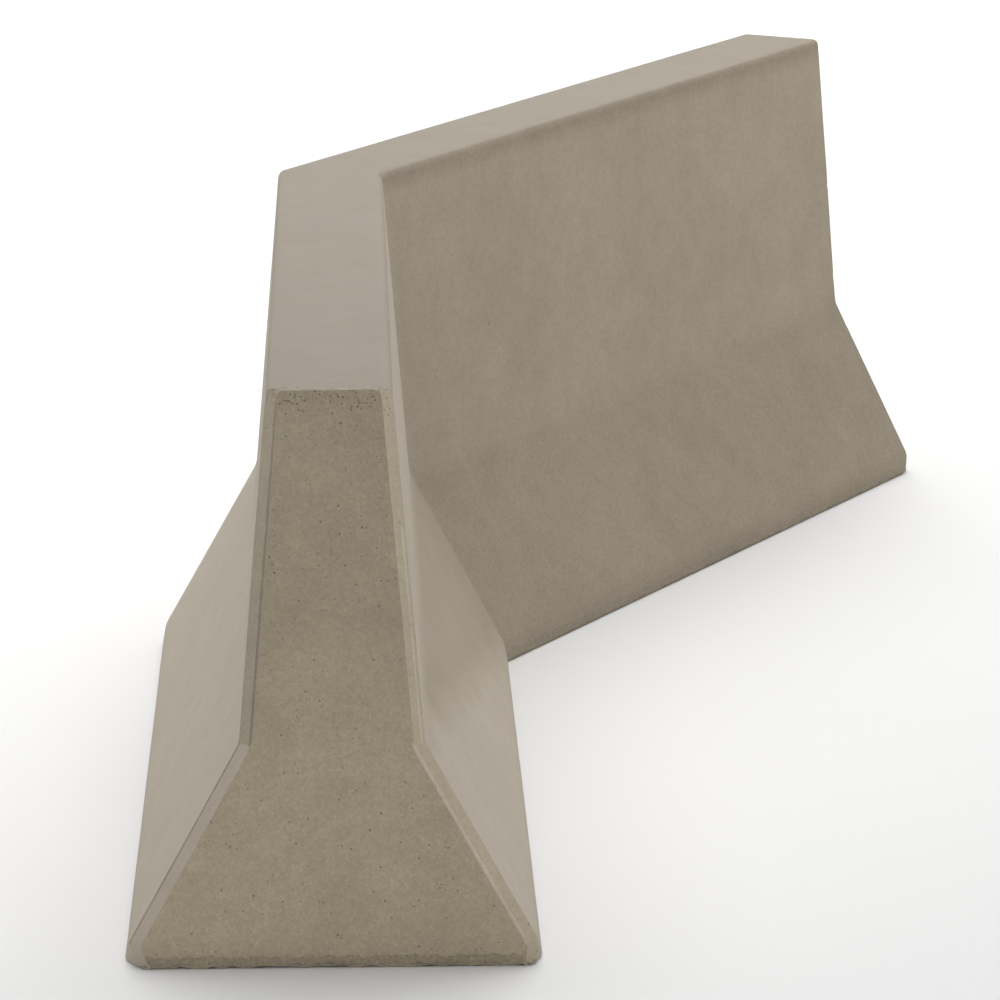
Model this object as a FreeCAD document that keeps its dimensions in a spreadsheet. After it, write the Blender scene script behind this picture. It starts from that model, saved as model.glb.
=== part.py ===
import FreeCAD, Part
import math
import os
import Sketcher
from FreeCAD import Placement, Rotation, Vector

# Precast concrete barrier corner unit: two equal legs that meet in a mitred bend.
# The unit stands on Z = 0. The mitre plane is X = 0, the left leg runs towards -X, the right leg
# towards +X, and both lean towards -Y, which is the inside of the bend. The origin is the middle
# of the footprint at the bend. All sizes are millimetres and degrees.

DIMENSIONS = {
    # overall shape of the casting
    "height": 810,
    "leg_length": 1700,        # from the bend to each end, along the centre line
    "bend_angle": 30,          # change of direction between the two legs
    # safety-shape section
    "top_width": 168,
    "knee_width": 252,
    "knee_height": 316,
    "base_width": 572,
    "toe_height": 33,          # top of the short, steep toe
    "toe_draft": 5,            # how far each toe leans in over its height
    "toe_radius": 55,          # rounding where the skirt meets the toe
    "arris_width": 3,          # worn-off lower edge: how far it reaches in
    "arris_height": 4,         # and how far it reaches up
    "top_edge_radius": 18,
    "knee_radius": 45,
    "end_bevel": 15,           # chamfer strip along both sides of each end
    "end_top_bevel": 4,
    "end_foot_bevel": 8,
    # reinforcement cage
    "side_cover": 45,          # concrete outside the stirrups
    "end_cover": 40,           # concrete beyond the ends of the long bars
    "stirrup_diameter": 10,
    "stirrup_bend_radius": 26,
    "first_stirrup": 150,      # from the bend to the first stirrup
    "last_stirrup": 75,        # from the last stirrup to the end of the leg
    "long_bar_diameter": 12,
    "long_bar_bend_radius": 72,
    "tack_gap": 0.3,           # between a long bar and the stirrup it is tacked to
    "knee_bar_rise": 40,       # long bars next to the knee, above the stirrup's knee
    "web_bar_height": 530,     # long bars half way up the web
    "top_bar_drop": 34,        # long bars next to the top, below the stirrup's top
    # mortar wheels that hold the cage off the mould
    "wheel_skin": 3,           # concrete left outside a wheel's rim
    "wheel_thickness": 20,
    "slope_wheel_height": 205,
    "web_wheel_height": 650,
    "wheel_stagger": 36,       # how much lower the wheels on the back sit
}
STIRRUPS_PER_LEG = 6
WHEEL_STIRRUPS = (1, 4, 6)     # the stirrups of each leg that carry wheels

# Starting turns that give a placement its axis; an expression then sets the angle.
SECTION_TURN = Rotation(Vector(0, 1, 0), 1)
LEG_TURN = Rotation(Vector(0, 0, 1), 1)
WHEEL_TURN = Rotation(Vector(1, 0, 0), 1)
CLOSE = 0.01                   # points nearer than this count as being on a face

LEGS = {"left": -1, "right": 1}
FACES = {"front": -1, "back": 1}   # front is the inside of the bend

# Values that several pieces share, each worked out from the dimensions above. A slope is the
# sideways run of a face for each millimetre of height; a line value is where the middle of a
# stirrup's bar runs, measured from the leg's centre plane.
DERIVED = {
    "half_bend": "dims.bend_angle / 2",
    "web_slope": "(dims.knee_width - dims.top_width) / 2 / (dims.height - dims.knee_height)",
    "skirt_slope": "((dims.base_width - dims.knee_width) / 2 - dims.toe_draft)"
                   " / (dims.knee_height - dims.toe_height)",
    "inset": "dims.side_cover + dims.stirrup_diameter / 2",
    "web_inset": "derived.inset * sqrt(1 + derived.web_slope ^ 2)",
    "skirt_inset": "derived.inset * sqrt(1 + derived.skirt_slope ^ 2)",
    "hoop_high": "dims.height - derived.inset",
    "hoop_knee": "dims.knee_height - (derived.skirt_inset - derived.web_inset)"
                 " / (derived.skirt_slope - derived.web_slope)",
    "hoop_knee_y": "dims.knee_width / 2 + (dims.knee_height - derived.hoop_knee) * derived.web_slope"
                   " - derived.web_inset",
    "hoop_low_y": "derived.hoop_knee_y + (derived.hoop_knee - derived.inset) * derived.skirt_slope",
    "hoop_high_y": "derived.hoop_knee_y - (derived.hoop_high - derived.hoop_knee) * derived.web_slope",
    "seat": "(dims.stirrup_diameter + dims.long_bar_diameter) / 2 + dims.tack_gap",
    "web_seat": "derived.seat * sqrt(1 + derived.web_slope ^ 2)",
    "stirrup_pitch": "(dims.leg_length - dims.first_stirrup - dims.last_stirrup) / %d"
                     % (STIRRUPS_PER_LEG - 1),
    "skirt_corner": "dims.stirrup_bend_radius * tan((90 deg + atan(derived.skirt_slope)) / 2)",
}

doc = FreeCAD.newDocument("barrier_corner")
dims = doc.addObject("Spreadsheet::Sheet", "dims")
for row, (name, value) in enumerate(DIMENSIONS.items(), start=1):
    dims.set(f"A{row}", name)
    dims.set(f"B{row}", str(value))
    dims.setAlias(f"B{row}", name)
doc.recompute()

derived = doc.addObject("App::VarSet", "derived")
for name in DERIVED:
    derived.addProperty("App::PropertyFloat", name)
for name, formula in DERIVED.items():
    derived.setExpression(name, formula)
doc.recompute()


def origin_plane(body, role):
    """Return one of a body's own origin planes, such as XY_Plane."""
    return next(item for item in body.Origin.OriginFeatures if item.Role == role)


def add_sketch(body, name, role):
    """Add a sketch on one of the body's own origin planes."""
    sketch = body.newObject("Sketcher::SketchObject", name)
    sketch.AttachmentSupport = (origin_plane(body, role), [""])
    sketch.MapMode = "FlatFace"
    return sketch


def number(formula):
    """Work out a formula's present value, as a starting size for the sketch solver."""
    value = dims.evalExpression(formula)
    return float(getattr(value, "Value", value))


def drive(sketch, kind, *args):
    """Add a dimension to a sketch and bind it to a formula, the last argument."""
    *places, formula = args
    index = sketch.addConstraint(Sketcher.Constraint(kind, *places, number(formula)))
    sketch.setExpression(f"Constraints[{index}]", formula)


def pin_point(sketch, geometry, vertex, across, up):
    """Hold one point of a sketch at a place given by two formulas."""
    drive(sketch, "DistanceX", -1, 1, geometry, vertex, across)
    drive(sketch, "DistanceY", -1, 1, geometry, vertex, up)


def polygon(sketch, corners):
    """Draw a closed outline through corners given as pairs of formulas."""
    points = [Vector(number(across), number(up), 0) for across, up in corners]
    lines = []
    for start, end in zip(points, points[1:] + points[:1]):
        lines.append(sketch.addGeometry(Part.LineSegment(start, end), False))
    for line, following in zip(lines, lines[1:] + lines[:1]):
        sketch.addConstraint(Sketcher.Constraint("Coincident", line, 2, following, 1))
    for line, (across, up) in zip(lines, corners):
        pin_point(sketch, line, 1, across, up)


def edges_where(shape, test):
    """Name the edges of a shape whose two end points both pass a test."""
    names = []
    for index, edge in enumerate(shape.Edges, start=1):
        points = [vertex.Point for vertex in edge.Vertexes]
        if len(points) == 2 and test(*points):
            names.append(f"Edge{index}")
    return names


def dress(body, kind, name, base, edges, sizes):
    """Chamfer or fillet some edges of a body's last feature, its sizes bound to formulas."""
    feature = body.newObject(f"PartDesign::{kind}", name)
    feature.Base = (base, edges)
    for size, formula in sizes.items():
        feature.setExpression(size, formula)
    body.Tip = feature
    doc.recompute()
    return feature


def mirror_half(body, name, role):
    """Complete a body with the mirror image of its solid across one of its origin planes."""
    mirror = body.newObject("PartDesign::Mirrored", name)
    mirror.TransformMode = "Whole shape"
    mirror.MirrorPlane = (origin_plane(body, role), [""])
    mirror.Refine = True
    body.Tip = mirror
    doc.recompute()
    return mirror


def along(point):
    """Distance of a point from the bend, measured along the right leg."""
    angle = number("derived.half_bend")
    return point.dot(Rotation(Vector(0, 0, 1), -angle).multVec(Vector(1, 0, 0)))


def casting_blank():
    """Make the outside of the concrete: one leg, trimmed at the mitre plane, and its mirror image."""
    body = doc.addObject("PartDesign::Body", "casting_blank")
    section = add_sketch(body, "section", "YZ_Plane")
    section.AttachmentOffset = Placement(Vector(), SECTION_TURN)
    section.setExpression("AttachmentOffset.Rotation.Angle", "-derived.half_bend")
    right_side = [
        ("dims.base_width / 2 - dims.arris_width", "0"),
        ("dims.base_width / 2", "dims.arris_height"),
        ("dims.base_width / 2 - dims.toe_draft", "dims.toe_height"),
        ("dims.knee_width / 2", "dims.knee_height"),
        ("dims.top_width / 2", "dims.height"),
    ]
    polygon(section, right_side + [(f"-({across})", up) for across, up in reversed(right_side)])
    leg = body.newObject("PartDesign::Pad", "leg")
    leg.Profile = section
    leg.SideType = "Symmetric"
    leg.setExpression("Length", "2 * dims.leg_length")
    body.Tip = leg
    doc.recompute()

    end, top, knee, toe = (number(f"dims.{name}")
                           for name in ("leg_length", "height", "knee_height", "toe_height"))

    def on_end(a, b):
        return max(abs(along(a) - end), abs(along(b) - end)) < CLOSE

    def lengthwise(a, b):
        return abs(along(a) - along(b)) > end

    def level_with(height, a, b):
        return max(abs(a.z - height), abs(b.z - height)) < CLOSE

    stages = [
        ("Chamfer", "end_bevels", lambda a, b: on_end(a, b) and abs(a.z - b.z) > CLOSE,
         {"Size": "dims.end_bevel"}),
        ("Chamfer", "end_top_bevel", lambda a, b: on_end(a, b) and level_with(top, a, b),
         {"Size": "dims.end_top_bevel"}),
        ("Chamfer", "end_foot_bevel", lambda a, b: on_end(a, b) and level_with(0, a, b),
         {"Size": "dims.end_foot_bevel"}),
        ("Fillet", "top_edges", lambda a, b: lengthwise(a, b) and level_with(top, a, b),
         {"Radius": "dims.top_edge_radius"}),
        ("Fillet", "knees", lambda a, b: lengthwise(a, b) and level_with(knee, a, b),
         {"Radius": "dims.knee_radius"}),
        ("Fillet", "toes", lambda a, b: lengthwise(a, b) and level_with(toe, a, b),
         {"Radius": "dims.toe_radius"}),
    ]
    solid = leg
    for kind, name, test, sizes in stages:
        solid = dress(body, kind, name, solid, edges_where(solid.Shape, test), sizes)

    waste = add_sketch(body, "waste", "XY_Plane")
    reach = "2 * dims.leg_length"
    polygon(waste, [("0", f"-({reach})"), ("0", reach), (f"-({reach})", reach),
                    (f"-({reach})", f"-({reach})")])
    trim = body.newObject("PartDesign::Pocket", "mitre")
    trim.Profile = waste
    trim.Type = "ThroughAll"
    trim.SideType = "Symmetric"
    body.Tip = trim
    doc.recompute()
    mirror_half(body, "both_legs", "YZ_Plane")
    return body


def circle(sketch, across, up, radius):
    """Draw a circle whose centre and radius are formulas."""
    centre = Vector(number(across), number(up), 0)
    index = sketch.addGeometry(Part.Circle(centre, Vector(0, 0, 1), number(radius)), False)
    pin_point(sketch, index, 3, across, up)
    drive(sketch, "Radius", index, radius)


def rounded_path(sketch, corners, radius):
    """Draw an open path through corners given as pairs of formulas, each inner corner rounded."""
    points = [Vector(number(across), number(up), 0) for across, up in corners]
    courses = [(end - start).normalize() for start, end in zip(points, points[1:])]
    size = number(radius)
    setbacks = [size * math.tan(before.getAngle(after) / 2)
                for before, after in zip(courses, courses[1:])]
    lines = []
    for start, end, course, leave, reach in zip(points, points[1:], courses, [0] + setbacks,
                                                setbacks + [0]):
        segment = Part.LineSegment(start + course * leave, end - course * reach)
        lines.append(sketch.addGeometry(segment, False))
    pin_point(sketch, lines[0], 1, *corners[0])
    pin_point(sketch, lines[-1], 2, *corners[-1])
    for place, (before, after) in enumerate(zip(lines, lines[1:]), start=1):
        ends = [sketch.Geometry[before].EndPoint, sketch.Geometry[after].StartPoint]
        inward = (courses[place] - courses[place - 1]).normalize()
        centre = points[place] + inward * math.hypot(size, setbacks[place - 1])
        turns_left = courses[place - 1].cross(courses[place]).z > 0
        start, end = ends if turns_left else reversed(ends)
        angles = [math.atan2(point.y - centre.y, point.x - centre.x) for point in (start, end)]
        arc = sketch.addGeometry(
            Part.ArcOfCircle(Part.Circle(centre, Vector(0, 0, 1), size), *angles), False)
        entry, leaving = (1, 2) if turns_left else (2, 1)
        sketch.addConstraint(Sketcher.Constraint("Tangent", before, 2, arc, entry))
        sketch.addConstraint(Sketcher.Constraint("Tangent", after, 1, arc, leaving))
        drive(sketch, "Radius", arc, radius)
        corner = sketch.addGeometry(Part.Point(points[place]), True)
        pin_point(sketch, corner, 1, *corners[place])
        sketch.addConstraint(Sketcher.Constraint("PointOnObject", corner, 1, before))
        sketch.addConstraint(Sketcher.Constraint("PointOnObject", corner, 1, after))


def sweep(body, name, section, path):
    """Sweep a section sketch along a path sketch."""
    doc.recompute()
    pipe = body.newObject("PartDesign::AdditivePipe", name)
    pipe.Profile = section
    pipe.Spine = (path, [f"Edge{index + 1}" for index in range(len(path.Shape.Edges))])
    body.Tip = pipe
    doc.recompute()
    return pipe


def long_bar(name, offset, rise):
    """Make one long bar with its bend; offset is from the centre line, positive on the back."""
    body = doc.addObject("PartDesign::Body", name)
    radius, reach = "dims.long_bar_bend_radius", "(dims.leg_length - dims.end_cover)"
    hub = f"(({offset}) - {radius}) / cos(derived.half_bend)"
    crown = f"{hub} + {radius}"

    path = add_sketch(body, f"{name}_path", "XY_Plane")
    path.setExpression("AttachmentOffset.Base.z", rise)
    half_turn = math.radians(number("derived.half_bend"))
    bend = Part.Circle(Vector(0, number(hub), 0), Vector(0, 0, 1), number(radius))
    arc = path.addGeometry(Part.ArcOfCircle(bend, math.pi / 2 - half_turn, math.pi / 2), False)
    tip_across = f"{reach} * cos(derived.half_bend) + ({offset}) * sin(derived.half_bend)"
    tip_up = f"({offset}) * cos(derived.half_bend) - {reach} * sin(derived.half_bend)"
    tip = Vector(number(tip_across), number(tip_up), 0)
    run = path.addGeometry(Part.LineSegment(path.Geometry[arc].StartPoint, tip), False)
    path.addConstraint(Sketcher.Constraint("Tangent", run, 1, arc, 1))
    path.addConstraint(Sketcher.Constraint("PointOnObject", arc, 3, -2))
    pin_point(path, arc, 2, "0", crown)
    drive(path, "Radius", arc, radius)
    pin_point(path, run, 2, tip_across, tip_up)

    section = add_sketch(body, f"{name}_section", "YZ_Plane")
    circle(section, crown, rise, "dims.long_bar_diameter / 2")
    sweep(body, f"{name}_half", section, path)
    mirror_half(body, f"{name}_whole", "YZ_Plane")
    return body


def set_on_leg(thing, leg, distance):
    """Place an object that was made square to its leg at a distance from the bend."""
    side = LEGS[leg]
    thing.Placement = Placement(Vector(), LEG_TURN)
    thing.setExpression("Placement.Base.x", f"{side} * ({distance}) * cos(derived.half_bend)")
    thing.setExpression("Placement.Base.y", f"-({distance}) * sin(derived.half_bend)")
    thing.setExpression("Placement.Rotation.Angle", f"{-side} * derived.half_bend")


def stirrup_distance(place):
    """Distance from the bend to a leg's stirrup, counted from 1 at the bend."""
    return f"dims.first_stirrup + {place - 1} * derived.stirrup_pitch"


def stirrup(name, leg, place):
    """Make one closed stirrup that follows the section at its cover."""
    body = doc.addObject("PartDesign::Body", name)
    path = add_sketch(body, f"{name}_path", "YZ_Plane")
    rounded_path(path, [
        ("0", "derived.inset"),
        ("derived.hoop_low_y", "derived.inset"),
        ("derived.hoop_knee_y", "derived.hoop_knee"),
        ("derived.hoop_high_y", "derived.hoop_high"),
        ("0", "derived.hoop_high"),
    ], "dims.stirrup_bend_radius")
    section = add_sketch(body, f"{name}_section", "XZ_Plane")
    circle(section, "0", "derived.inset", "dims.stirrup_diameter / 2")
    sweep(body, f"{name}_half", section, path)
    mirror_half(body, f"{name}_whole", "XZ_Plane")
    set_on_leg(body, leg, stirrup_distance(place))
    return body


def web_line(rise):
    """Sideways place of a stirrup's bar at a height on the web."""
    return f"(derived.hoop_knee_y - (({rise}) - derived.hoop_knee) * derived.web_slope)"


def skirt_line(rise):
    """Sideways place of a stirrup's bar at a height on the skirt."""
    return f"(derived.hoop_knee_y + (derived.hoop_knee - ({rise})) * derived.skirt_slope)"


def wheel(name, leg, place, face, line, rise, slope):
    """Make one mortar wheel around a stirrup's bar, square to its leg."""
    body = doc.addObject("PartDesign::Body", name)
    rim = add_sketch(body, f"{name}_rim", "XY_Plane")
    circle(rim, "0", "0", "derived.inset - dims.wheel_skin")
    circle(rim, "0", "0", "dims.stirrup_diameter / 2")
    disc = body.newObject("PartDesign::Pad", f"{name}_disc")
    disc.Profile = rim
    disc.SideType = "Symmetric"
    disc.setExpression("Length", "dims.wheel_thickness")
    body.Tip = disc
    side = FACES[face]
    body.Placement = Placement(Vector(), WHEEL_TURN)
    body.setExpression("Placement.Base.x", f"{LEGS[leg]} * ({stirrup_distance(place)})")
    body.setExpression("Placement.Base.y", f"{side} * {line(rise)}")
    body.setExpression("Placement.Base.z", rise)
    body.setExpression("Placement.Rotation.Angle", f"{side} * atan({slope})")
    return body


def wheels(leg):
    """Make all the mortar wheels of one leg, as one group of separate solids."""
    seats = {
        "skirt": (skirt_line, "dims.slope_wheel_height", "derived.skirt_slope"),
        "web": (web_line, "dims.web_wheel_height", "derived.web_slope"),
    }
    made = []
    for place in WHEEL_STIRRUPS:
        for face in FACES:
            for seat, (line, height, slope) in seats.items():
                rise = height if face == "front" else f"({height} - dims.wheel_stagger)"
                name = f"wheel_{leg}_{place}_{face}_{seat}"
                made.append(wheel(name, leg, place, face, line, rise, slope))
    group = doc.addObject("Part::Compound", f"cover_wheels_{leg}")
    group.Links = made
    set_on_leg(group, leg, "0")
    return group


web_bar_rises = {
    "knee": "derived.hoop_knee + dims.knee_bar_rise",
    "web": "dims.web_bar_height",
    "top": "derived.hoop_high - dims.top_bar_drop",
}
long_bars = {"base": ("derived.hoop_low_y - derived.skirt_corner", "derived.inset + derived.seat")}
for level, rise in web_bar_rises.items():
    long_bars[level] = (f"{web_line(rise)} - derived.web_seat", rise)

cage = []
for level, (offset, rise) in long_bars.items():
    for face, side in FACES.items():
        cage.append(long_bar(f"long_bar_{level}_{face}", f"{side} * ({offset})", rise))
for leg in LEGS:
    for place in range(1, STIRRUPS_PER_LEG + 1):
        cage.append(stirrup(f"stirrup_{leg}_{place}", leg, place))
for leg in LEGS:
    cage.append(wheels(leg))
doc.recompute()

embedded = doc.addObject("Part::Compound", "embedded_pieces")
embedded.Links = cage
casting = doc.addObject("Part::Cut", "barrier_casting")
casting.Base = casting_blank()
casting.Tool = embedded
doc.recompute()

subparts = [casting] + cage
for thing in doc.Objects:
    if {"Invalid", "Error"} & set(thing.State):
        raise RuntimeError(f"{thing.Label} failed: {thing.getStatusString()}")
for thing in subparts:
    if thing.Shape.isNull() or not thing.Shape.isValid() or not thing.Shape.Solids:
        raise RuntimeError(f"{thing.Label} has no valid solid")

os.makedirs("parts", exist_ok=True)
for thing in subparts:
    thing.Shape.exportStep(f"parts/{thing.Label}.step")
    print(thing.Label, len(thing.Shape.Solids), f"{thing.Shape.Volume:.0f} mm3")
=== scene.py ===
import math
import random

import bmesh
import bpy
from mathutils import Matrix, Vector, noise


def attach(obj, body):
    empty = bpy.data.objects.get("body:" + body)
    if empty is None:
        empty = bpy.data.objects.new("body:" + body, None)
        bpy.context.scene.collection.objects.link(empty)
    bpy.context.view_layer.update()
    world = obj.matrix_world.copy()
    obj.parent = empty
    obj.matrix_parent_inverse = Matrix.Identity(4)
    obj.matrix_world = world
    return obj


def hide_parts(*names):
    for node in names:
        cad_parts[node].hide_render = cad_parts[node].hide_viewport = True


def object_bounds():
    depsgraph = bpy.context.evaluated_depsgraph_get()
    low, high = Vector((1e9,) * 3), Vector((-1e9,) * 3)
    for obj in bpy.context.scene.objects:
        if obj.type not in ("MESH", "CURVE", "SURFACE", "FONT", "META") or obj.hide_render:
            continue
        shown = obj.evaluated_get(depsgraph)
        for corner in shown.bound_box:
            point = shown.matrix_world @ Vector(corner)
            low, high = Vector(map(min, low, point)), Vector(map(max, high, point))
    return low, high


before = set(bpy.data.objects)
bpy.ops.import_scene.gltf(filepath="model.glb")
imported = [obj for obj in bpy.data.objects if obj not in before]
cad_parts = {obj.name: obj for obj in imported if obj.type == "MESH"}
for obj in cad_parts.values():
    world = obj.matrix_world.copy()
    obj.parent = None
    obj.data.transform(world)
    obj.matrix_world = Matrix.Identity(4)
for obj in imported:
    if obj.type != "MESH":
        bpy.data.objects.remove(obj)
cad_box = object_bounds()

# The looks of a precast concrete barrier corner unit. All sizes are metres, in the CAD frame: the
# unit stands on Z = 0, the mitre plane is X = 0 and the inside of the bend faces -Y.

# Section and plan, as in the CAD model.
HEIGHT = cad_box[1].z
HALF_BEND = math.radians(15)
LEG_LENGTH = 1.7
TOP_WIDTH, KNEE_WIDTH, BASE_WIDTH = 0.168, 0.252, 0.572
KNEE_HEIGHT, TOE_HEIGHT, TOE_DRAFT = 0.316, 0.033, 0.005
FOOT_IN, FOOT_UP = 0.003, 0.004          # worn-off lower edge
FOOT_RADIUS, TOE_RADIUS, KNEE_RADIUS, TOP_RADIUS = 0.0015, 0.055, 0.045, 0.018
END_BEVEL, END_TOP_BEVEL, END_FOOT_BEVEL = 0.015, 0.004, 0.004
BEVEL_SPREAD, TOP_SPREAD, FOOT_SPREAD = 0.006, 0.004, 0.005   # finer cells beside a bevel
ARRIS_RADIUS = 0.0016                    # rounding of the bevels' own edges
SMALL_BEVEL = 0.006                      # a bevel below this has proportionally less rounding
MOST_SPARED = 0.008                      # most that a bevel takes off the top's rounding
MOST_ROUNDED = 0.46                      # share of an edge that one rounding may take up

# Mesh density.
COLUMNS = 44                             # cells across the top, the base and the end faces
LEVEL_CELL = 0.0085                      # largest cell up the sides
ARC_CELLS = 6
LEG_CELLS = 60
END_ZONE = 0.07                          # the last stretch of a leg, with finer cells
END_ZONE_CELLS = 7
BEVEL_RUN, FACE_RUN = 11, 5              # cells across a bevel, and beside it

# Wear and marks. The back corners of the foot are rubbed away further than the front ones.
BACK_WEAR, FRONT_WEAR, WEAR_LENGTH, WEAR_HEIGHT = 0.021, 0.010, 0.05, TOE_HEIGHT + 0.004
WEB_FIN_TOP = 0.62                       # the web's fin fades out above this height
SHADOW_WEDGE_SLOPE = 0.185                       # rise of the painted shadow's lower edge along the left leg
FORM_LINE = 0.0011                       # height of the lines that the form's strips leave
FORM_LINE_TOP = HEIGHT - 0.03            # the lines stop at the top's rounding
SWELL = 0.0006                           # depth of the slow waves in every face
END_WAVES = 0.0003                       # extra waves on the end faces
ARRIS_WAVES, ARRIS_REACH = 0.0002, 0.011   # unevenness along the ends' edges, and how far it goes
CHIP_DEPTH, CHIP_RARITY = 0.005, 0.36    # chips out of the ends' edges
RAGGED_HEIGHT, RAGGED_DEPTH = 0.024, 0.0042   # the crumbly band at the foot of the ends


def lerp(a, b, t):
    return a + (b - a) * t


# ---------------------------------------------------------------- the section

def line_through(a, b, inset):
    """A line through two points, moved to its left by inset, as (point, direction)."""
    direction = (b - a).normalized()
    left = Vector((-direction.y, direction.x))
    return a + left * inset, direction


def crossing(first, second):
    """Where two lines given as (point, direction) cross."""
    (p, d), (q, e) = first, second
    cross = d.x * e.y - d.y * e.x
    gap = q - p
    return p + d * ((gap.x * e.y - gap.y * e.x) / cross)


def rounded(corners, radii, cells):
    """Points along a path with its inner corners rounded; cells holds the count of each run."""
    points = [corners[0].copy()]
    last = corners[0]
    for place in range(1, len(corners) - 1):
        corner = corners[place]
        back = corners[place - 1] - corner
        on = corners[place + 1] - corner
        turn = math.pi - back.angle(on)
        reach = min(radii[place - 1] * math.tan(turn / 2),
                    MOST_ROUNDED * back.length, MOST_ROUNDED * on.length)
        start = corner + back.normalized() * reach
        end = corner + on.normalized() * reach
        for step in range(1, cells[place - 1] + 1):
            points.append(last.lerp(start, step / cells[place - 1]))
        for step in range(1, ARC_CELLS + 1):
            t = step / ARC_CELLS
            a = start.lerp(corner, t)
            b = corner.lerp(end, t)
            points.append(a.lerp(b, t))
        last = end
    for step in range(1, cells[-1] + 1):
        points.append(last.lerp(corners[-1], step / cells[-1]))
    return points


OUTLINE = [
    Vector((0, 0)),
    Vector((BASE_WIDTH / 2 - FOOT_IN, 0)),
    Vector((BASE_WIDTH / 2, FOOT_UP)),
    Vector((BASE_WIDTH / 2 - TOE_DRAFT, TOE_HEIGHT)),
    Vector((KNEE_WIDTH / 2, KNEE_HEIGHT)),
    Vector((TOP_WIDTH / 2, HEIGHT)),
    Vector((0, HEIGHT)),
]
RUN_CELLS = [max(1, round((b - a).length / LEVEL_CELL)) for a, b in zip(OUTLINE, OUTLINE[1:])]


def side_levels(side_inset=0.0, top_inset=0.0, foot_inset=0.0, spare_radius=0.0):
    """Points up one side of the section, from the base to the top, moved in from each face."""
    insets = [foot_inset] + [side_inset] * 4 + [top_inset]
    lines = [line_through(a, b, inset) for a, b, inset in zip(OUTLINE, OUTLINE[1:], insets)]
    corners = [crossing(a, b) for a, b in zip(lines, lines[1:])]
    base = Vector((0, foot_inset))
    top = Vector((0, HEIGHT - top_inset))
    top_radius = TOP_RADIUS - spare_radius
    path = rounded([base] + corners + [top],
                   [FOOT_RADIUS, FOOT_RADIUS, TOE_RADIUS, KNEE_RADIUS, top_radius],
                   [1] + RUN_CELLS[1:-1] + [1])
    return path[1:-1]


# ---------------------------------------------------------------- the casting's mesh

def end_course():
    """Pairs (distance from the end face, inset) that cross a bevel, for each kind of edge."""
    def course(bevel, spread):
        corners = [Vector((bevel + spread, 0)), Vector((bevel, 0)), Vector((0, bevel)),
                   Vector((0, bevel + spread))]
        radius = ARRIS_RADIUS * min(1, bevel / SMALL_BEVEL)
        return rounded(corners, [radius] * 2, [FACE_RUN, BEVEL_RUN, FACE_RUN])
    return (course(END_BEVEL, BEVEL_SPREAD), course(END_TOP_BEVEL, TOP_SPREAD),
            course(END_FOOT_BEVEL, FOOT_SPREAD))


def bevel_travel():
    """How far each ring lies along the way across a bevel, from the side to the end face."""
    course = end_course()[0]
    travelled = [0.0]
    for point, following in zip(course, course[1:]):
        travelled.append(travelled[-1] + (following - point).length)
    return travelled


TRAVEL = bevel_travel()
OUTER_ARRIS = TRAVEL[FACE_RUN + ARC_CELLS // 2]
INNER_ARRIS = TRAVEL[-1] - OUTER_ARRIS


def end_rings():
    """Sections across an end's bevels: for each, its levels and their distances from the end."""
    rings = []
    for side, top, foot in zip(*end_course()):
        levels = side_levels(side.y, top.y, foot.y, spare_radius=min(side.y, MOST_SPARED))
        last = len(levels) - 1
        arc_start = last - ARC_CELLS
        foot_end = RUN_CELLS[1] + 2 * ARC_CELLS
        distances = []
        for place in range(last + 1):
            if place > arc_start:
                depth = lerp(side.x, top.x, (place - arc_start) / ARC_CELLS)
            elif place < foot_end:
                depth = lerp(foot.x, side.x, place / foot_end)
            else:
                depth = side.x
            distances.append(depth)
        rings.append((levels, distances))
    return rings


def leg_point(side, across, up, run):
    """A point of a leg: side -1 is the left leg, across is positive on the back."""
    x = run * math.cos(HALF_BEND) + across * math.sin(HALF_BEND)
    y = across * math.cos(HALF_BEND) - run * math.sin(HALF_BEND)
    return Vector((side * x, y, up))


def ring_points(levels, runs):
    """One closed ring as (across, up, run), counted from the front foot round over the back."""
    def row(place, backwards):
        half, up = levels[place]
        steps = range(COLUMNS, 0, -1) if backwards else range(COLUMNS)
        return [((2 * step / COLUMNS - 1) * half, up, runs[place]) for step in steps]
    last = len(levels) - 1
    ring = [(-levels[place][0], levels[place][1], runs[place]) for place in range(last)]
    ring += row(last, False)
    ring += [(levels[place][0], levels[place][1], runs[place]) for place in range(last, 0, -1)]
    ring += row(0, True)
    return ring


def leg_rings():
    """All rings of one leg, from the mitre to the end, as lists of (across, up, run or None)."""
    plain = side_levels()
    count = len(plain)
    rings = []
    for step in range(LEG_CELLS):
        rings.append((ring_points(plain, [0.0] * count), step / LEG_CELLS))
    crossings = end_rings()
    zone_start = crossings[0][1][count // 2]
    for step in range(END_ZONE_CELLS):
        depth = lerp(END_ZONE, zone_start, step / END_ZONE_CELLS)
        rings.append((ring_points(plain, [depth] * count), None))
    for levels, distances in crossings:
        rings.append((ring_points(levels, distances), None))
    return rings


def place_ring(side, ring, share):
    """World points of a ring; share is how far along the plain stretch it lies, if it does."""
    points = []
    for across, up, depth in ring:
        mitre = -across * math.tan(HALF_BEND)
        if share is None:
            run = LEG_LENGTH - depth
            across = worn_foot(across, up, depth)
        else:
            run = lerp(mitre, LEG_LENGTH - END_ZONE, share)
        points.append(leg_point(side, across, up, run))
    return points


def smooth_step(low, high, value):
    t = min(max((value - low) / (high - low), 0), 1)
    return t * t * (3 - 2 * t)


def worn_foot(across, up, depth):
    """Draw the foot's corner at an end inwards, where handling has rubbed it away."""
    low = max(0.0, 1 - up / WEAR_HEIGHT)
    near = 1 - smooth_step(0.0, WEAR_LENGTH, depth)
    outer = smooth_step(0.6, 1, abs(across) / (BASE_WIDTH / 2))
    wear = BACK_WEAR if across > 0 else FRONT_WEAR
    return across - math.copysign(wear * low * near * outer, across)


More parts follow.
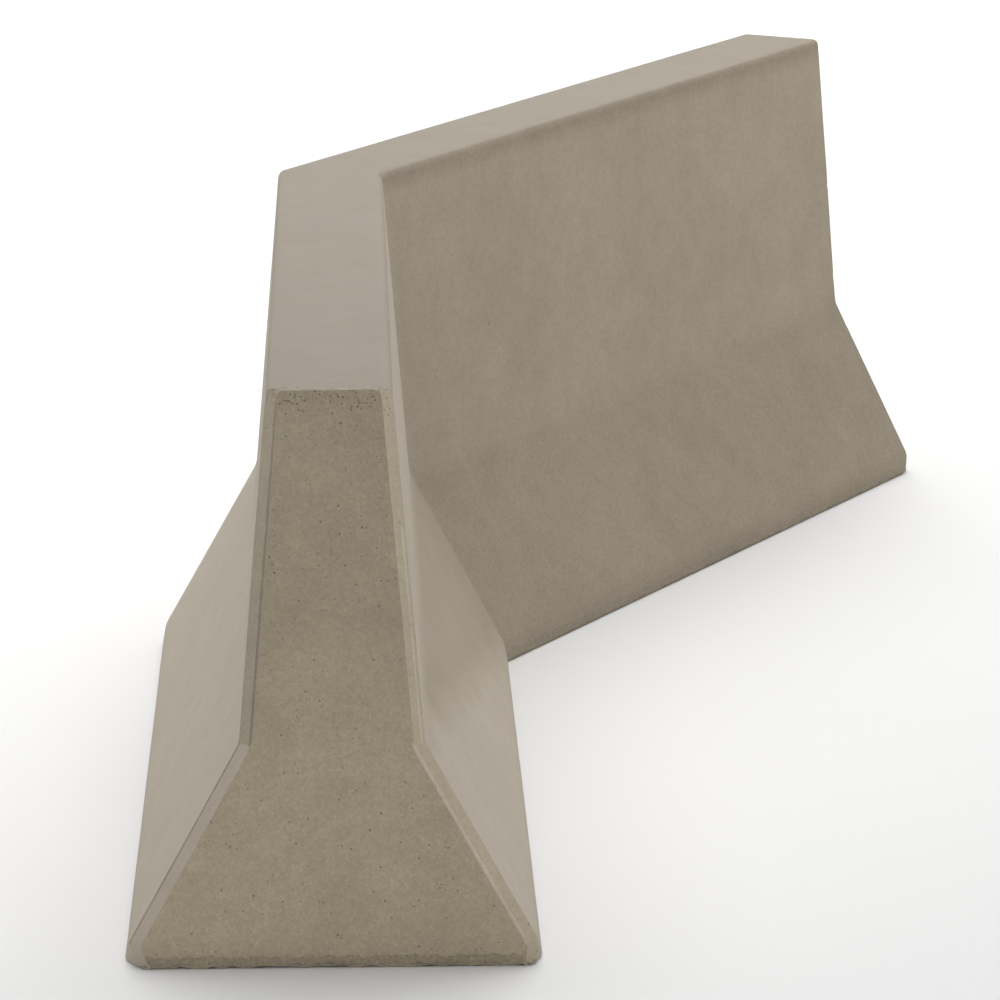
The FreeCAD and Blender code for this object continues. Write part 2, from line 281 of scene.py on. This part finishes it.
def build_casting():
    """The casting's skin, with its hoops from the left end to the right and its end faces."""
    bm = bmesh.new()
    rings = leg_rings()
    around = len(rings[0][0])
    legs = []
    for side in (-1, 1):
        kept = rings if side > 0 else rings[1:]      # the legs share the ring at the mitre
        legs.append([[bm.verts.new(p) for p in place_ring(side, ring, share)]
                     for ring, share in kept])
    left, right = legs
    hoops = list(reversed(left)) + right
    place_layer = bm.faces.layers.float.new("across_bevel")
    for index, (hoop, following) in enumerate(zip(hoops, hoops[1:])):
        ring = min(index, len(hoops) - 2 - index)
        place = 0.0
        if ring < len(TRAVEL) - 1:
            place = (TRAVEL[-1 - ring] + TRAVEL[-2 - ring]) / 2
        for step in range(around):
            after = (step + 1) % around
            face = bm.faces.new((hoop[step], following[step], following[after], hoop[after]))
            face[place_layer] = place
    end_faces = [fill_end(bm, hoops[0], True), fill_end(bm, hoops[-1], False)]
    bm.normal_update()
    return bm, hoops, end_faces


def fill_end(bm, hoop, flip):
    """Close an end with a ladder of cells between the two sides of its last ring."""
    levels = (len(hoop) - 2 * COLUMNS) // 2
    rows = []
    for place in range(levels + 1):
        front = hoop[place]
        back = hoop[(2 * levels + COLUMNS - place) % len(hoop)]
        if place == 0:
            row = [hoop[0]] + [hoop[len(hoop) - step] for step in range(1, COLUMNS + 1)]
        elif place == levels:
            row = [hoop[levels + step] for step in range(COLUMNS + 1)]
        else:
            row = [front]
            for step in range(1, COLUMNS):
                row.append(bm.verts.new(front.co.lerp(back.co, step / COLUMNS)))
            row.append(back)
        rows.append(row)
    faces = []
    for low, high in zip(rows, rows[1:]):
        for step in range(COLUMNS):
            corners = (low[step], low[step + 1], high[step + 1], high[step])
            faces.append(bm.faces.new(corners if flip else tuple(reversed(corners))))
    return faces


# The fine lines that the form's chamfer strips left: (front or back, skirt or web, distance across
# the bevel, height in units of FORM_LINE, half width).
FORM_LINES = [
    ("back", "skirt", OUTER_ARRIS, -1.4, 0.0022),
    ("back", "skirt", OUTER_ARRIS + 0.006, 0.4, 0.002),
    ("front", "skirt", INNER_ARRIS, 1.4, 0.0020),
    ("front", "skirt", OUTER_ARRIS, -0.4, 0.002),
    ("front", "web", OUTER_ARRIS - 0.001, 0.7, 0.0014),
    ("front", "web", OUTER_ARRIS + 0.006, 0.6, 0.0014),
    ("back", "web", INNER_ARRIS + 0.001, -1.0, 0.0018),
    ("back", "web", OUTER_ARRIS, 0.4, 0.0018),
]


def shape_form_lines(hoops):
    """Raise or sink the lines where the form's chamfer strips met its sides and its end."""
    for first, step in ((0, 1), (len(hoops) - 1, -1)):
        for ring, place in enumerate(TRAVEL):
            for vert in hoops[first + step * (len(TRAVEL) - 1 - ring)]:
                if vert.co.z < TOE_HEIGHT or vert.co.z > FORM_LINE_TOP:
                    continue
                side = "front" if leg_coordinates(vert.co)[1] < 0 else "back"
                part = "skirt" if vert.co.z < KNEE_HEIGHT else "web"
                vary = 0.9 + 0.3 * noise.noise(vert.co * 7)
                height = 0.0
                for on_side, on_part, middle, size, width in FORM_LINES:
                    if (on_side, on_part) == (side, part):
                        height += size * math.exp(-((place - middle) / width) ** 2)
                vert.co += vert.normal * height * vary * FORM_LINE


def leg_coordinates(point):
    """(distance from the bend, offset towards the back) of a point, on its own leg."""
    x = abs(point.x)
    run = x * math.cos(HALF_BEND) - point.y * math.sin(HALF_BEND)
    across = x * math.sin(HALF_BEND) + point.y * math.cos(HALF_BEND)
    return run, across


def weather(bm):
    """Press the surface in a little everywhere, more along the ends' edges and at the foot."""
    low, high = cad_box
    for vert in bm.verts:
        p = vert.co
        depth = LEG_LENGTH - leg_coordinates(p)[0]
        swell = 0.5 + 0.5 * noise.fractal(p * 3.1, 0.8, 2.0, 3)
        press = SWELL * swell
        if depth < 0.001:
            press += END_WAVES * (0.5 + 0.5 * noise.noise(p * 38))
        at_edge = math.exp(-((depth - END_BEVEL / 2) / ARRIS_REACH) ** 2) if depth < 0.05 else 0
        chip = max(0.0, noise.noise(p * 60 + Vector((7, 3, 1))) - CHIP_RARITY)
        waves = ARRIS_WAVES * (0.5 + 0.5 * noise.noise(p * 120))
        press += at_edge * (waves + CHIP_DEPTH * chip)
        if p.z < RAGGED_HEIGHT and depth < 0.03:
            crumble = abs(noise.noise(p * 31) + 0.7 * noise.noise(p * 83))
            press += (1 - p.z / RAGGED_HEIGHT) * RAGGED_DEPTH * crumble
        p -= vert.normal * press
        p.x = min(max(p.x, low.x), high.x)
        p.y = min(max(p.y, low.y), high.y)
        p.z = min(max(p.z, low.z), high.z)
    for vert in bm.verts:
        if vert.co.z < 0.0012 and vert.normal.z < -0.7:
            vert.co.z = low.z


SMALLEST_PIT = 0.0005
PIT_CELLS = 8                            # cells round a pit
PIT_RINGS = ((1.0, 0.0), (0.86, 0.45), (0.5, 0.9))   # (share of its radius, share of its depth)


def dig_pit(bm, face, radius, depth, chance):
    """Replace one cell with a small lumpy hole, as an air bubble leaves in concrete."""
    corners = [loop.vert for loop in face.loops]
    if len(corners) != 4:
        return
    sides = [(a.co - b.co).length for a, b in zip(corners, corners[1:] + corners[:1])]
    radius = min(radius, 0.34 * min(sides))
    if radius < SMALLEST_PIT:
        return
    normal = face.normal.copy()
    room = max(0.5 - (radius * 1.25) / min(sides), 0)
    u, v = (0.5 + chance.uniform(-1, 1) * room * 0.8 for _ in range(2))
    centre = corners[0].co.lerp(corners[1].co, u).lerp(corners[3].co.lerp(corners[2].co, u), v)
    bm.faces.remove(face)
    across = corners[0].co - centre
    across = (across - normal * across.dot(normal)).normalized()
    up = normal.cross(across)
    stretch = chance.uniform(0.7, 1.0)
    phase = chance.uniform(0, 1)
    hoops = []
    for size, sink in PIT_RINGS:
        hoop = []
        for step in range(PIT_CELLS):
            angle = step * 2 * math.pi / PIT_CELLS
            lump = 1 + 0.16 * math.sin(3 * angle + 6.3 * phase) + 0.08 * math.sin(5 * angle)
            out = radius * size * lump
            spot = centre + across * math.cos(angle) * out + up * math.sin(angle) * out * stretch
            hoop.append(bm.verts.new(spot - normal * depth * sink))
        hoops.append(hoop)
    floor = bm.verts.new(centre - normal * depth)
    rim = hoops[0]
    for step in range(4):
        first, second = corners[step], corners[(step + 1) % 4]
        near = (2 * step, 2 * step + 1, (2 * step + 2) % PIT_CELLS)
        bm.faces.new([first, second] + [rim[place] for place in reversed(near)])
    for outer, inner in zip(hoops, hoops[1:]):
        for step in range(PIT_CELLS):
            after = (step + 1) % PIT_CELLS
            bm.faces.new((outer[step], outer[after], inner[after], inner[step]))
    for step in range(PIT_CELLS):
        bm.faces.new((hoops[-1][step], hoops[-1][(step + 1) % PIT_CELLS], floor))


# Where an end face's bubbles crowd: (lowest and highest as shares of the height, least and most as
# shares across, count, largest radius).
PIT_BANDS = [
    (0.972, 0.992, 0.02, 0.98, 60, 0.0017),
    (0.90, 0.97, 0.0, 1.0, 44, 0.0013),
    (0.66, 0.94, 0.0, 0.06, 26, 0.0015),
    (0.60, 0.94, 0.94, 1.0, 26, 0.0015),
    (0.35, 0.90, 0.05, 0.95, 46, 0.0013),
    (0.05, 0.40, 0.03, 0.97, 44, 0.0016),
    (0.006, 0.035, 0.02, 0.98, 44, 0.0024),
]
SIDE_PITS = 46                           # bubbles on all the other faces together


def pit_end(bm, faces, chance):
    """Bubbles on an end face: a crowded row under the top edge, and fewer elsewhere."""
    rows = len(faces) // COLUMNS
    taken = set()
    heights = [face.calc_center_median().z / HEIGHT for face in faces[::COLUMNS]]
    for low, high, left, right, count, size in PIT_BANDS:
        for _ in range(count):
            level = chance.uniform(low, high)
            row = min(range(rows), key=lambda place: abs(heights[place] - level))
            column = min(COLUMNS - 1, int(chance.uniform(left, right) * COLUMNS))
            radius = size * chance.uniform(0.45, 1) ** 1.3
            if (row, column) in taken:
                continue
            taken.add((row, column))
            dig_pit(bm, faces[row * COLUMNS + column], radius, radius * 1.5, chance)


def pit_sides(bm, faces, count, chance):
    """A few shallow bubbles anywhere on the sides and the top."""
    for face in chance.sample(faces, count):
        radius = chance.uniform(0.0008, 0.0026)
        dig_pit(bm, face, radius, radius * 1.1, chance)


# The concrete finishes, in the order of FINISHES further down.
(SMOOTH, SANDY, UNDERSIDE, INNER, SHADED_BACK_STRIP, LIP, SHADOWED_SIDE, PALE_LIT_FIN, SHADED_GROOVE,
 FRONT_STRIP) = range(10)


# The form lines with a finish of their own: the raised fins are paler cement with a painted
# highlight, the grooves carry painted shade. Each pair (in front, on the skirt) gives the finish,
# the distance across the bevel and the half width.
LINE_FINISHES = {
    (True, True): (PALE_LIT_FIN, INNER_ARRIS, 0.0026),
    (True, False): (PALE_LIT_FIN, OUTER_ARRIS + 0.006, 0.0010),
    (False, True): (SHADED_GROOVE, OUTER_ARRIS, 0.0024),
    (False, False): (SHADED_GROOVE, INNER_ARRIS, 0.0018),
}
LINE_FINISH_TOP = HEIGHT - 0.02
END_BAND = 0.03                          # an end face's own finish lies this near the end
DOWNWARD, SQUARELY, PARTLY = -0.8, 0.93, 0.35    # cosines that sort faces by where they look


def form_line(place, front, up):
    """The finish of the fin (pale, painted highlight) or groove (painted shade) at a place across a
    bevel, or None.
    """
    skirt = up < KNEE_HEIGHT
    if front and not skirt and up >= WEB_FIN_TOP:
        return None
    finish, middle, half_width = LINE_FINISHES[front, skirt]
    return finish if abs(place - middle) < half_width else None


def region(face, place):
    """Which concrete finish a face has, by where it lies and which way it faces."""
    centre = face.calc_center_median()
    run, across = leg_coordinates(centre)
    side = math.copysign(1, centre.x)
    outward = face.normal
    along = Vector((side * math.cos(HALF_BEND), -math.sin(HALF_BEND), 0))
    front = Vector((-side * math.sin(HALF_BEND), -math.cos(HALF_BEND), 0))
    if outward.z < DOWNWARD:
        return UNDERSIDE
    if place > 0 and TOE_HEIGHT < centre.z < LINE_FINISH_TOP:
        line = form_line(place, across < 0, centre.z)
        if line is not None:
            return line
    if run > LEG_LENGTH - END_BAND and outward.dot(along) > SQUARELY:
        return SANDY
    if run > LEG_LENGTH - END_BEVEL and outward.dot(along) > PARTLY:
        if outward.z > PARTLY and centre.z > KNEE_HEIGHT:
            return LIP
        if across < 0:
            return FRONT_STRIP
        # Painted shade: the back strips above the knee take a darker copy of the concrete.
        return SHADED_BACK_STRIP if centre.z > KNEE_HEIGHT else SMOOTH
    if outward.dot(front) < PARTLY:
        return SMOOTH
    # Inner faces: the right leg's are browner; the left leg's carry a painted shadow on the skirt.
    return INNER if side > 0 else SHADOWED_SIDE


def make_casting():
    bm, hoops, end_faces = build_casting()
    bmesh.ops.recalc_face_normals(bm, faces=bm.faces)
    bm.normal_update()
    shape_form_lines(hoops)
    bm.normal_update()
    weather(bm)
    bm.normal_update()
    chance = random.Random(41)
    at_ends = {face for faces in end_faces for face in faces}
    plain = [face for face in bm.faces if face not in at_ends and face.normal.z > -0.5
             and face.calc_area() > 5e-5]
    for faces in end_faces:
        pit_end(bm, faces, chance)
    pit_sides(bm, plain, SIDE_PITS, chance)
    bm.normal_update()
    place_layer = bm.faces.layers.float["across_bevel"]
    for face in bm.faces:
        face.material_index = region(face, face[place_layer])
        face.smooth = True
    mesh = bpy.data.meshes.new("concrete_casting")
    bm.to_mesh(mesh)
    bm.free()
    mesh.set_sharp_from_angle(angle=math.radians(32))
    casting = bpy.data.objects.new("concrete_casting", mesh)
    bpy.context.scene.collection.objects.link(casting)
    return casting


casting = make_casting()
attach(casting, "root")
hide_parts("barrier_casting")


# ---------------------------------------------------------------- materials

class Nodes:
    """A short way to write a material's nodes."""

    def __init__(self, name, roughness, specular=0.25, metallic=0.0):
        self.material = bpy.data.materials.new(name)
        self.material.use_nodes = True
        self.tree = self.material.node_tree
        self.shader = self.tree.nodes["Principled BSDF"]
        self.shader.inputs["Roughness"].default_value = roughness
        self.shader.inputs["Specular IOR Level"].default_value = specular
        self.shader.inputs["Metallic"].default_value = metallic
        self.coordinates = self.tree.nodes.new("ShaderNodeTexCoord").outputs["Object"]

    def add(self, kind, settings, links):
        node = self.tree.nodes.new(kind)
        for key, value in settings.items():
            if isinstance(key, str) and hasattr(node, key):
                setattr(node, key, value)
            else:
                node.inputs[key].default_value = value
        for key, socket in links.items():
            self.tree.links.new(socket, node.inputs[key])
        return node

    def stretched(self, scale):
        """The object's coordinates, scaled by a triple."""
        return self.add("ShaderNodeMapping", {"Scale": scale},
                        {"Vector": self.coordinates}).outputs[0]

    def noise(self, scale, detail=4, roughness=0.55, at=None):
        return self.add("ShaderNodeTexNoise",
                        {"Scale": scale, "Detail": detail, "Roughness": roughness},
                        {"Vector": at or self.coordinates}).outputs["Fac"]

    def cells(self, scale, output="Distance"):
        return self.add("ShaderNodeTexVoronoi", {"Scale": scale},
                        {"Vector": self.coordinates}).outputs[output]

    def part(self, triple, axis):
        """One axis of a colour or vector socket."""
        return self.add("ShaderNodeSeparateXYZ", {}, {0: triple}).outputs[axis]

    def span(self, value, low, high, to_low=0.0, to_high=1.0):
        """Map a value's range onto another range, clamped."""
        return self.add("ShaderNodeMapRange", {1: low, 2: high, 3: to_low, 4: to_high},
                        {0: value}).outputs[0]

    def math(self, operation, first, second):
        values = {place: value for place, value in enumerate((first, second))
                  if isinstance(value, (int, float))}
        sockets = {place: value for place, value in enumerate((first, second))
                   if not isinstance(value, (int, float))}
        return self.add("ShaderNodeMath", dict(values, operation=operation), sockets).outputs[0]

    def blend(self, factor, first, second):
        """Mix two colours, each a triple or a socket, by a factor socket."""
        node = self.tree.nodes.new("ShaderNodeMix")
        node.data_type = "RGBA"
        self.tree.links.new(factor, node.inputs[0])
        for place, colour in ((6, first), (7, second)):
            if isinstance(colour, tuple):
                node.inputs[place].default_value = (*colour, 1)
            else:
                self.tree.links.new(colour, node.inputs[place])
        return node.outputs[2]

    def scaled(self, colour, value):
        """Multiply a colour socket by a grey value socket."""
        node = self.tree.nodes.new("ShaderNodeVectorMath")
        node.operation = "SCALE"
        self.tree.links.new(colour, node.inputs[0])
        self.tree.links.new(value, node.inputs["Scale"])
        return node.outputs[0]

    def height(self):
        """The height above the ground."""
        return self.part(self.coordinates, "Z")

    def finish(self, colour, relief, relief_depth, roughness=None):
        self.tree.links.new(colour, self.shader.inputs["Base Color"])
        bump = self.add("ShaderNodeBump", {"Distance": relief_depth, "Strength": 1.0},
                        {"Height": relief})
        self.tree.links.new(bump.outputs[0], self.shader.inputs["Normal"])
        if roughness is not None:
            self.tree.links.new(roughness, self.shader.inputs["Roughness"])
        return self.material


def painted_shadow_wedge(n, up):
    """Painted shadow mask: 1 on the left leg's skirt above a line from the foot at the bend to the
    knee at the end.
    """
    run = n.math("ADD", n.math("MULTIPLY", n.part(n.coordinates, "X"), -math.cos(HALF_BEND)),
                 n.math("MULTIPLY", n.part(n.coordinates, "Y"), -math.sin(HALF_BEND)))
    ragged = n.span(n.noise(6, 4, 0.6), 0.2, 0.8, -0.02, 0.02)
    above = n.math("ADD", n.math("SUBTRACT", up, n.math("MULTIPLY", run, SHADOW_WEDGE_SLOPE)), ragged)
    return n.math("MULTIPLY", n.span(above, -0.02, 0.045),
                  n.span(up, KNEE_HEIGHT - 0.02, KNEE_HEIGHT + 0.012, 1, 0))


SPECK_SCALE, PORE_SCALE = 150, 230       # cells per metre of the dark specks and the pores
CLOUDS, BLOTCHES, BANDS = 0.5, 0.44, 0.06    # shares of three kinds of tone


def concrete(name, dark, light, grain_scale, grain_contrast, relief_depth, painted_crown_shade=1.0,
             speck=0.5, painted_light_by_height=(1.0, 1.0), painted_light_span=(0.05, 0.75), rough_foot_and_shadow=0.0, pores=False,
             painted_shadow_colours=None):
    """Cast concrete: cloudy tone, casting bands, sand grain, tiny dark specks and fine relief.

    painted_light_by_height gives a tone at the low and the high end of painted_light_span, as
    painted light and shade by height; painted_crown_shade darkens the top and its edge as painted
    shade; rough_foot_and_shadow marks a coarse band just above the ground and a painted shadow line
    along the very foot; pores crowds tiny holes under the top edge, drawn darker inside as painted
    shade; and painted_shadow_colours is a second pair of colours for a painted shadow on the skirt
    above a slanting line, on the left leg."""
    n = Nodes(name, 0.85)
    clouds = n.noise(2.7, 3)
    blotches = n.noise(13, 5, 0.6)
    bands = n.noise(3.0, 4, 0.6, n.stretched((0.35, 0.35, 3.0)))
    tone = n.math("ADD", n.math("MULTIPLY", clouds, CLOUDS),
                  n.math("ADD", n.math("MULTIPLY", blotches, BLOTCHES),
                         n.math("MULTIPLY", bands, BANDS)))
    colour = n.blend(n.span(tone, 0.36, 0.64), dark, light)
    up = n.height()
    # Painted shadow: the left leg's skirt is drawn darker and browner above a slanting line.
    if painted_shadow_colours:
        shadow_tone = n.blend(n.span(tone, 0.36, 0.64), *painted_shadow_colours)
        colour = n.blend(painted_shadow_wedge(n, up), colour, shadow_tone)

    grain = n.noise(grain_scale, 2, 0.7)
    sand = n.part(n.cells(grain_scale * 0.55, "Color"), "X")
    grit = n.math("ADD", n.math("MULTIPLY", n.span(grain, 0.3, 0.7), 0.6),
                  n.math("MULTIPLY", sand, 0.4))
    colour = n.scaled(colour, n.span(grit, 0, 1, 1 - grain_contrast, 1 + grain_contrast))
    pale = n.part(n.cells(grain_scale * 1.7, "Color"), "Y")
    colour = n.scaled(colour, n.span(pale, 0.90, 0.97, 1, 1 + 0.8 * grain_contrast))

    chosen = n.part(n.cells(SPECK_SCALE, "Color"), "Y")
    dot = n.math("MULTIPLY", n.span(n.cells(SPECK_SCALE), 0.10, 0.16, 1, 0),
                 n.span(chosen, 0.90, 0.93))
    colour = n.scaled(colour, n.span(dot, 0, 1, 1, 1 - speck))

    # Painted shade: the top and the highest few centimetres of the sides are drawn darker.
    painted_crown_shade_factor = n.span(up, HEIGHT - 0.04, HEIGHT - 0.012, 1, painted_crown_shade)
    # Darker towards the foot, with a little random variation.
    foot_darkening = n.math("MULTIPLY", n.span(up, 0.0, 0.05, 0.95, 1.0),
                       n.span(n.noise(30, 4), 0.2, 0.8, 0.97, 1.03))
    colour = n.scaled(colour, n.math("MULTIPLY", painted_crown_shade_factor, foot_darkening))
    # Painted light and shade by height: the tone is drawn lighter or darker between two heights.
    colour = n.scaled(colour, n.span(up, *painted_light_span, *painted_light_by_height))

    relief = n.math("ADD", n.math("MULTIPLY", grit, 0.7), n.math("MULTIPLY", blotches, 1.2))
    relief = n.math("SUBTRACT", relief, n.math("MULTIPLY", dot, 1.0))
    if pores:
        hole = n.span(n.cells(PORE_SCALE), 0.20, 0.30, 1, 0)
        kind = n.part(n.cells(PORE_SCALE, "Color"), "Z")
        crowd = n.span(up, HEIGHT - 0.045, HEIGHT - 0.012, 0.02, 0.42)
        hole = n.math("MULTIPLY", hole, n.math("LESS_THAN", kind, crowd))
        # Painted shade: the pores are drawn darker inside.
        colour = n.scaled(colour, n.span(hole, 0, 1, 1, 0.55))
        relief = n.math("SUBTRACT", relief, n.math("MULTIPLY", hole, 3.0))
    if rough_foot_and_shadow:
        ragged = n.math("ADD", up, n.span(n.noise(55, 4, 0.7), 0.2, 0.8, -0.006, 0.006))
        band = n.span(ragged, 0.016, 0.019, 1, 0)
        crumbs = n.math("MULTIPLY", band, n.span(n.noise(160, 3, 0.7), 0.40, 0.62, 1, 0))
        # Painted shadow: a dark line along the very foot, just above the ground.
        painted_foot_shadow = n.math("MULTIPLY", n.span(ragged, 0.0045, 0.0075, 1, 0),
                      n.span(n.noise(24, 3), 0.4, 0.55))
        colour = n.scaled(colour, n.span(crumbs, 0, 1, 1, 1 - 0.13 * rough_foot_and_shadow))
        colour = n.scaled(colour, n.span(painted_foot_shadow, 0, 1, 1, 1 - 0.35 * rough_foot_and_shadow))
        relief = n.math("SUBTRACT", relief, n.math("MULTIPLY", crumbs, 2.5 * rough_foot_and_shadow))
    return n.finish(colour, relief, relief_depth, n.span(clouds, 0.3, 0.7, 0.78, 0.92))


def steel():
    """Hot-rolled bar: dark mill scale with patches of light rust."""
    n = Nodes("reinforcing_steel", 0.6, 0.5, 0.35)
    patches = n.noise(60, 5, 0.65)
    colour = n.blend(n.span(patches, 0.42, 0.6), (0.075, 0.068, 0.065), (0.23, 0.10, 0.045))
    return n.finish(colour, n.noise(700, 3), 0.0003, n.span(patches, 0.3, 0.7, 0.5, 0.85))


def mortar():
    n = Nodes("wheel_mortar", 0.9)
    colour = n.blend(n.span(n.noise(40, 4), 0.35, 0.65), (0.30, 0.29, 0.27), (0.42, 0.41, 0.38))
    return n.finish(colour, n.noise(500, 3, 0.7), 0.0004)


FLOOR_GLOW = (5.0, 12.0, 0.0, 0.85)      # the far floor glows like a lit studio sweep


def pale_floor():
    n = Nodes("studio_floor", 0.9, 0.1)
    colour = n.blend(n.noise(1.2, 2), (0.80, 0.80, 0.80), (0.82, 0.82, 0.82))
    reach = n.add("ShaderNodeVectorMath", {"operation": "LENGTH"},
                  {0: n.coordinates}).outputs["Value"]
    n.shader.inputs["Emission Color"].default_value = (1, 1, 1, 1)
    n.tree.links.new(n.span(reach, *FLOOR_GLOW), n.shader.inputs["Emission Strength"])
    return n.finish(colour, n.noise(300, 2), 0.0001)


FINISHES = [
    dict(name="concrete_form_side", dark=(0.362, 0.318, 0.255), light=(0.396, 0.349, 0.282),
         grain_scale=420, grain_contrast=0.04, relief_depth=0.00022, painted_crown_shade=0.72, speck=0.25),
    # Painted light and shade: the end faces are drawn lighter towards the foot and darker towards
    # the top.
    dict(name="concrete_sandy", dark=(0.274, 0.234, 0.167), light=(0.330, 0.283, 0.206),
         grain_scale=330, grain_contrast=0.15, relief_depth=0.0006,
         painted_crown_shade=0.92, painted_light_by_height=(1.15, 0.93), rough_foot_and_shadow=1.0, pores=True),
    dict(name="concrete_underside", dark=(0.25, 0.21, 0.15), light=(0.33, 0.28, 0.21),
         grain_scale=260, grain_contrast=0.14, relief_depth=0.001),
    # Painted shade: the right leg's inner skirt is drawn darker than its web.
    dict(name="concrete_inner_face", dark=(0.264, 0.225, 0.168), light=(0.311, 0.267, 0.202),
         grain_scale=330, grain_contrast=0.12, relief_depth=0.0005,
         painted_crown_shade=0.80, painted_light_by_height=(0.875, 1.0), painted_light_span=(0.29, 0.335), rough_foot_and_shadow=0.5),
    # A darker copy of the concrete, as painted shade on the back strips.
    dict(name="concrete_bevel_painted_shade", dark=(0.288, 0.252, 0.192), light=(0.334, 0.293, 0.225),
         grain_scale=340, grain_contrast=0.11, relief_depth=0.0004, pores=True),
    dict(name="concrete_lip", dark=(0.362, 0.318, 0.250), light=(0.410, 0.362, 0.288),
         grain_scale=380, grain_contrast=0.06, relief_depth=0.0003, pores=True),
    # The smooth concrete again, with a painted shadow on the left leg's inner skirt.
    dict(name="concrete_side_painted_shadow", dark=(0.362, 0.318, 0.255), light=(0.396, 0.349, 0.282),
         grain_scale=420, grain_contrast=0.04, relief_depth=0.00022, painted_crown_shade=0.72, speck=0.25,
         painted_shadow_colours=((0.280, 0.239, 0.180), (0.314, 0.269, 0.204))),
    # Paler cement on the fins, with a painted highlight.
    dict(name="concrete_fin_pale_and_painted_highlight", dark=(0.39, 0.345, 0.275), light=(0.49, 0.44, 0.36),
         grain_scale=380, grain_contrast=0.10, relief_depth=0.0003),
    # Painted shade in the grooves.
    dict(name="concrete_groove_painted_shade", dark=(0.20, 0.175, 0.138), light=(0.26, 0.226, 0.18),
         grain_scale=380, grain_contrast=0.10, relief_depth=0.0003),
    dict(name="concrete_front_bevel", dark=(0.366, 0.316, 0.234), light=(0.404, 0.350, 0.262),
         grain_scale=340, grain_contrast=0.10, relief_depth=0.0004, pores=True),
]
for finish in FINISHES:
    casting.data.materials.append(concrete(**finish))

steel_material, mortar_material = steel(), mortar()
for node_name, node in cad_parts.items():
    node.data.materials.clear()
    if node_name == "barrier_casting":
        node.data.materials.append(casting.data.materials[SMOOTH])
    elif node_name.startswith("cover_wheels"):
        node.data.materials.append(mortar_material)
    else:
        node.data.materials.append(steel_material)


# ---------------------------------------------------------------- stage, light and camera

FLOOR_REACH = 60
LIT_CENTRE = Vector((0, -0.2, 0.35))     # the point that the panels face
WORLD_STRENGTH = 1.66


def make_floor():
    grid = bpy.data.meshes.new("floor")
    corners = [(x * FLOOR_REACH, y * FLOOR_REACH, 0)
               for x, y in ((-1, -1), (1, -1), (1, 1), (-1, 1))]
    grid.from_pydata(corners, [], [(0, 1, 2, 3)])
    floor = bpy.data.objects.new("floor", grid)
    bpy.context.scene.collection.objects.link(floor)
    grid.materials.append(pale_floor())


def aim(thing, target):
    direction = Vector(target) - thing.location
    thing.rotation_euler = direction.to_track_quat("-Z", "Y").to_euler()


def panel(name, azimuth, elevation, distance, width, height, strength, target=None):
    """A soft panel light at an azimuth, counted from +X towards +Y, that faces the object."""
    lamp = bpy.data.lights.new(name, "AREA")
    lamp.shape = "RECTANGLE"
    lamp.size, lamp.size_y = width, height
    lamp.energy = strength
    panel_object = bpy.data.objects.new(name, lamp)
    a, e = math.radians(azimuth), math.radians(elevation)
    panel_object.location = LIT_CENTRE + distance * Vector(
        (math.cos(a) * math.cos(e), math.sin(a) * math.cos(e), math.sin(e)))
    bpy.context.scene.collection.objects.link(panel_object)
    aim(panel_object, target or LIT_CENTRE)


make_floor()
# (azimuth from +X towards +Y, elevation, distance, width, height, power, and what it faces)
PANELS = {
    "over_panel": (90, 88, 5, 5, 5, 196),
    "rear_panel": (15, 40, 7, 3, 3, 90),
    "left_panel": (95, 20, 7, 4, 2.5, 66),
    "right_panel": (-66, 10, 7, 4, 1.8, 92),
    "front_panel": (195, 35, 9, 4, 3, 160),
    "floor_panel": (12, 42, 9, 8, 8, 430, (6.6, 1.2, 0)),
}
for panel_name, values in PANELS.items():
    panel(panel_name, *values)


def make_world():
    """A world that is bright around the horizon and dark overhead, as a white sweep lights it."""
    studio = bpy.data.worlds.new("studio")
    studio.use_nodes = True
    tree = studio.node_tree
    backdrop = tree.nodes["Background"]
    backdrop.inputs["Strength"].default_value = WORLD_STRENGTH
    direction = tree.nodes.new("ShaderNodeTexCoord").outputs["Generated"]
    axes = tree.nodes.new("ShaderNodeSeparateXYZ")
    ramp = tree.nodes.new("ShaderNodeValToRGB")
    tree.links.new(direction, axes.inputs[0])
    tree.links.new(axes.outputs["Z"], ramp.inputs[0])
    tree.links.new(ramp.outputs[0], backdrop.inputs["Color"])
    for place, (position, grey) in enumerate(((0.0, 1.0), (0.5, 0.0))):
        ramp.color_ramp.elements[place].position = position
        ramp.color_ramp.elements[place].color = (grey, grey, grey, 1)
    return studio


bpy.context.scene.world = make_world()
bpy.context.scene.view_settings.view_transform = "Standard"

CAMERA_PLACE = (-8.6343, -2.3365, 2.3426)
CAMERA_HEADING = 76.623                  # degrees from +Y towards +X
CAMERA_DIP = 13.115
CAMERA_ROLL = -0.100
CAMERA_LENS = 200.3                      # millimetres, for a sensor 36 mm wide

camera_data = bpy.data.cameras.new("camera")
camera_data.lens = CAMERA_LENS
camera_data.sensor_width = 36
camera_data.clip_end = 200
camera = bpy.data.objects.new("camera", camera_data)
bpy.context.scene.collection.objects.link(camera)
camera.matrix_world = (
    Matrix.Translation(CAMERA_PLACE)
    @ Matrix.Rotation(math.radians(-CAMERA_HEADING), 4, "Z")
    @ Matrix.Rotation(math.radians(90 - CAMERA_DIP), 4, "X")
    @ Matrix.Rotation(math.radians(CAMERA_ROLL), 4, "Z")
)
bpy.context.scene.camera = camera
